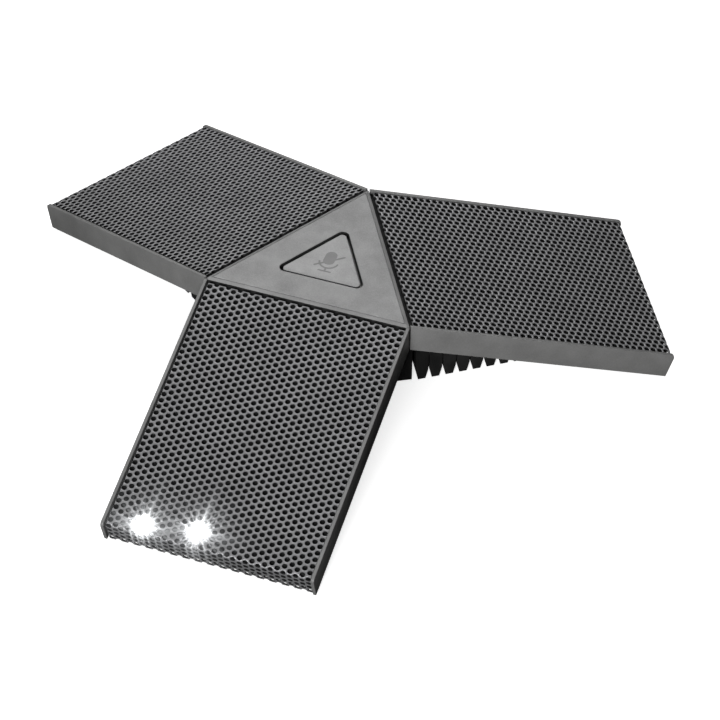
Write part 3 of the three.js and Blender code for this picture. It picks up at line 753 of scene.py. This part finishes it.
def make_key_shade_lining():
    """A thin black lining of painted shade in the plate's opening round the key, where the gap is in
    shadow.
    """
    outer = rounded_triangle(APERTURE_INRADIUS - KEY_SHADE_CLEARANCE, APERTURE_CORNER)
    inner = rounded_triangle(APERTURE_INRADIUS - KEY_SHADE_THICKNESS, APERTURE_CORNER - KEY_SHADE_THICKNESS)
    high = TOP - KEY_SHADE_TOP_DROP
    rings = [
        (outer, high - KEY_SHADE_HEIGHT),
        (outer, high),
        (inner, high - KEY_SHADE_LIP_DROP),
        (inner, high - KEY_SHADE_HEIGHT),
    ]
    ringed("key_shade_lining", rings, "rubber")


def stroke(points, width, caps=6):
    """The outline of a line of even width with round ends, as a loop of (x, y) points."""
    left, right = [], []
    for k, (x, y) in enumerate(points):
        before = points[max(k - 1, 0)]
        after = points[min(k + 1, len(points) - 1)]
        dx, dy = after[0] - before[0], after[1] - before[1]
        length = math.hypot(dx, dy)
        nx, ny = -dy / length * width / 2, dx / length * width / 2
        left.append((x + nx, y + ny))
        right.append((x - nx, y - ny))

    def cap(centre, start):
        from_angle = math.atan2(start[1] - centre[1], start[0] - centre[0])
        return [
            (
                centre[0] + width / 2 * math.cos(from_angle - math.pi * j / caps),
                centre[1] + width / 2 * math.sin(from_angle - math.pi * j / caps),
            )
            for j in range(1, caps)
        ]

    return left + cap(points[-1], left[-1]) + right[::-1] + cap(points[0], right[0])


def arc(radius, start, end, centre=(0, 0), steps=12):
    angles = [math.radians(start + (end - start) * k / steps) for k in range(steps + 1)]
    return [(centre[0] + radius * math.cos(a), centre[1] + radius * math.sin(a)) for a in angles]


def make_mute_sign():
    """A generic struck-out microphone, printed on the key: a capsule in a cradle on a short stand."""
    body = arc(1.65, 0, 180, (-0.2, 3.2)) + arc(1.65, 180, 360, (-0.2, 0.9))
    cradle = stroke(arc(2.7, 190, 350, (0, 0.5)), 0.55)
    stem = stroke([(0, -2.2), (0, -3.4)], 0.55)
    base = stroke([(-1.7, -3.6), (1.7, -3.6)], 0.55)
    slash = stroke([(-3.5, -1.9), (3.5, 3.6)], 0.6)
    layers = (body, cradle, stem, base, slash)
    z = KEY_TOP
    points = []
    faces = []
    for level, loop in enumerate(layers):
        first = len(points)
        count = len(loop)
        low = z - SIGN_ROOT
        high = z + SIGN_THICKNESS + level * SIGN_LAYER
        for height in (low, high):
            points += [(x * MM, y * MM + KEY_CENTRE_Y, height) for x, y in loop]
        turned = sum(
            loop[k][0] * loop[(k + 1) % count][1] - loop[(k + 1) % count][0] * loop[k][1]
            for k in range(count)
        )
        order = list(range(count)) if turned > 0 else list(range(count))[::-1]
        faces.append(tuple(first + count + k for k in order))
        faces.append(tuple(first + k for k in reversed(order)))
        for a, b in zip(order, order[1:] + order[:1]):
            faces.append((first + a, first + b, first + count + b, first + count + a))
    mesh = bpy.data.meshes.new("mute_sign")
    mesh.from_pydata(points, [], faces)
    new_piece("mute_sign", mesh, "ink", body="mute_key")


# ---------- the camera, the stage and the lights ----------
AIM = Vector((0.0162, -0.0185, 0.0155))
CAMERA_DISTANCE = 0.770
CAMERA_AZIMUTH = math.radians(18.63)
CAMERA_ELEVATION = math.radians(43.16)
CAMERA_ROLL = math.radians(0.954)
LENS = 139.1
SENSOR = 36.0


def make_camera():
    data = bpy.data.cameras.new("camera")
    data.lens = LENS
    data.sensor_width = SENSOR
    data.clip_start = 0.01
    camera = bpy.data.objects.new("camera", data)
    bpy.context.scene.collection.objects.link(camera)
    level = math.cos(CAMERA_ELEVATION)
    back = Vector(
        (
            math.sin(CAMERA_AZIMUTH) * level,
            -math.cos(CAMERA_AZIMUTH) * level,
            math.sin(CAMERA_ELEVATION),
        )
    )
    camera.rotation_mode = "QUATERNION"
    turn = (-back).to_track_quat("-Z", "Y").to_matrix().to_4x4()
    roll = Matrix.Rotation(CAMERA_ROLL, 4, "Z")
    camera.matrix_world = Matrix.Translation(AIM + back * CAMERA_DISTANCE) @ turn @ roll
    bpy.context.scene.camera = camera


def make_stage():
    mesh = bpy.data.meshes.new("floor")
    reach = 4.0
    mesh.from_pydata(
        [(-reach, -reach, 0), (reach, -reach, 0), (reach, reach, 0), (-reach, reach, 0)],
        [],
        [(0, 1, 2, 3)],
    )
    floor = bpy.data.objects.new("floor", mesh)
    bpy.context.scene.collection.objects.link(floor)
    floor.location.z = -0.05 * MM
    shader = Shader("floor_paper")
    paper = shader.noise(1.5 * MM, detail=2)
    shader.set(
        base_color=shader.blend(paper, grey(0.93), grey(0.96)),
        roughness=shader.between(paper, 0.85, 0.95),
        emission_color=(1, 1, 1, 1),
        emission_strength=0.75,
    )
    mesh.materials.append(shader.material)
    floor.visible_diffuse = False
    floor.visible_glossy = False


# Each softbox: its azimuth from +X and its height angle in degrees, its distance and width, its power.
SOFTBOXES = {
    "softbox_over": (139, 72, 0.9, 0.6, 0.7),
    "softbox_back": (109, 43, 1.0, 0.6, 4.6),
    "softbox_left_back": (120, 16, 1.1, 0.5, 0.5),
    "softbox_front": (-88, 20, 1.0, 0.4, 9.4),
}
DOME_ABOVE = 0.11
DOME_BELOW = 0.0


def area_light(name, azimuth, height, distance, size, power):
    data = bpy.data.lights.new(name, "AREA")
    data.shape = "DISK"
    data.size = size
    data.energy = power
    lamp = bpy.data.objects.new(name, data)
    bpy.context.scene.collection.objects.link(lamp)
    around, up = math.radians(azimuth), math.radians(height)
    towards = Vector((math.cos(around) * math.cos(up), math.sin(around) * math.cos(up), math.sin(up)))
    lamp.location = AIM + towards * distance
    lamp.rotation_mode = "QUATERNION"
    lamp.rotation_quaternion = (-towards).to_track_quat("-Z", "Y")


def make_dome():
    """A soft dome of light: brighter above, dim below the table."""
    world = bpy.data.worlds.new("studio")
    bpy.context.scene.world = world
    world.use_nodes = True
    nodes, links = world.node_tree.nodes, world.node_tree.links
    background = nodes["Background"]
    background.inputs["Color"].default_value = (1, 1, 1, 1)
    split = nodes.new("ShaderNodeSeparateXYZ")
    links.new(nodes.new("ShaderNodeTexCoord").outputs["Generated"], split.inputs[0])
    ramp = nodes.new("ShaderNodeMapRange")
    links.new(split.outputs["Z"], ramp.inputs["Value"])
    ramp.inputs["From Min"].default_value = -0.1
    ramp.inputs["From Max"].default_value = 0.8
    ramp.inputs["To Min"].default_value = DOME_BELOW
    ramp.inputs["To Max"].default_value = DOME_ABOVE
    links.new(ramp.outputs["Result"], background.inputs["Strength"])


make_camera()
make_stage()
make_dome()
for name, settings in SOFTBOXES.items():
    area_light(name, *settings)
bpy.context.scene.view_settings.view_transform = "Standard"

for arm in ARMS:
    refined(
        f"wing_shell_{arm}",
        f"arm_shell_{arm}",
        "shell",
        0.18 * MM,
        move=end_at_shown_gap(arm),
    )
    refined(f"ribbed_foot_{arm}", f"rib_foot_{arm}", "rubber", 0.35 * MM)
refined("hub_chassis", "hub_frame", "pan", 0.1 * MM, move=frame_to_edge)
make_top_plate()
make_plate_shade_band()
refined("mute_keycap", "mute_key", "key", 0.2 * MM, body="mute_key")
refined("base_shell", "base_pan", "pan", 0.25 * MM, 2)
refined("round_pad", "hub_pad", "rubber", 0.25 * MM)
make_grilles()
make_cloths()
make_key_shade_lining()
make_mute_sign()

slots = {row["node"]: row["material_slot"] for row in frame["record"]["subparts"]}
for node, shown in frame["nodes"].items():
    material = MATERIALS[slots[node]]
    shown.data.materials.clear()
    shown.data.materials.append(material)
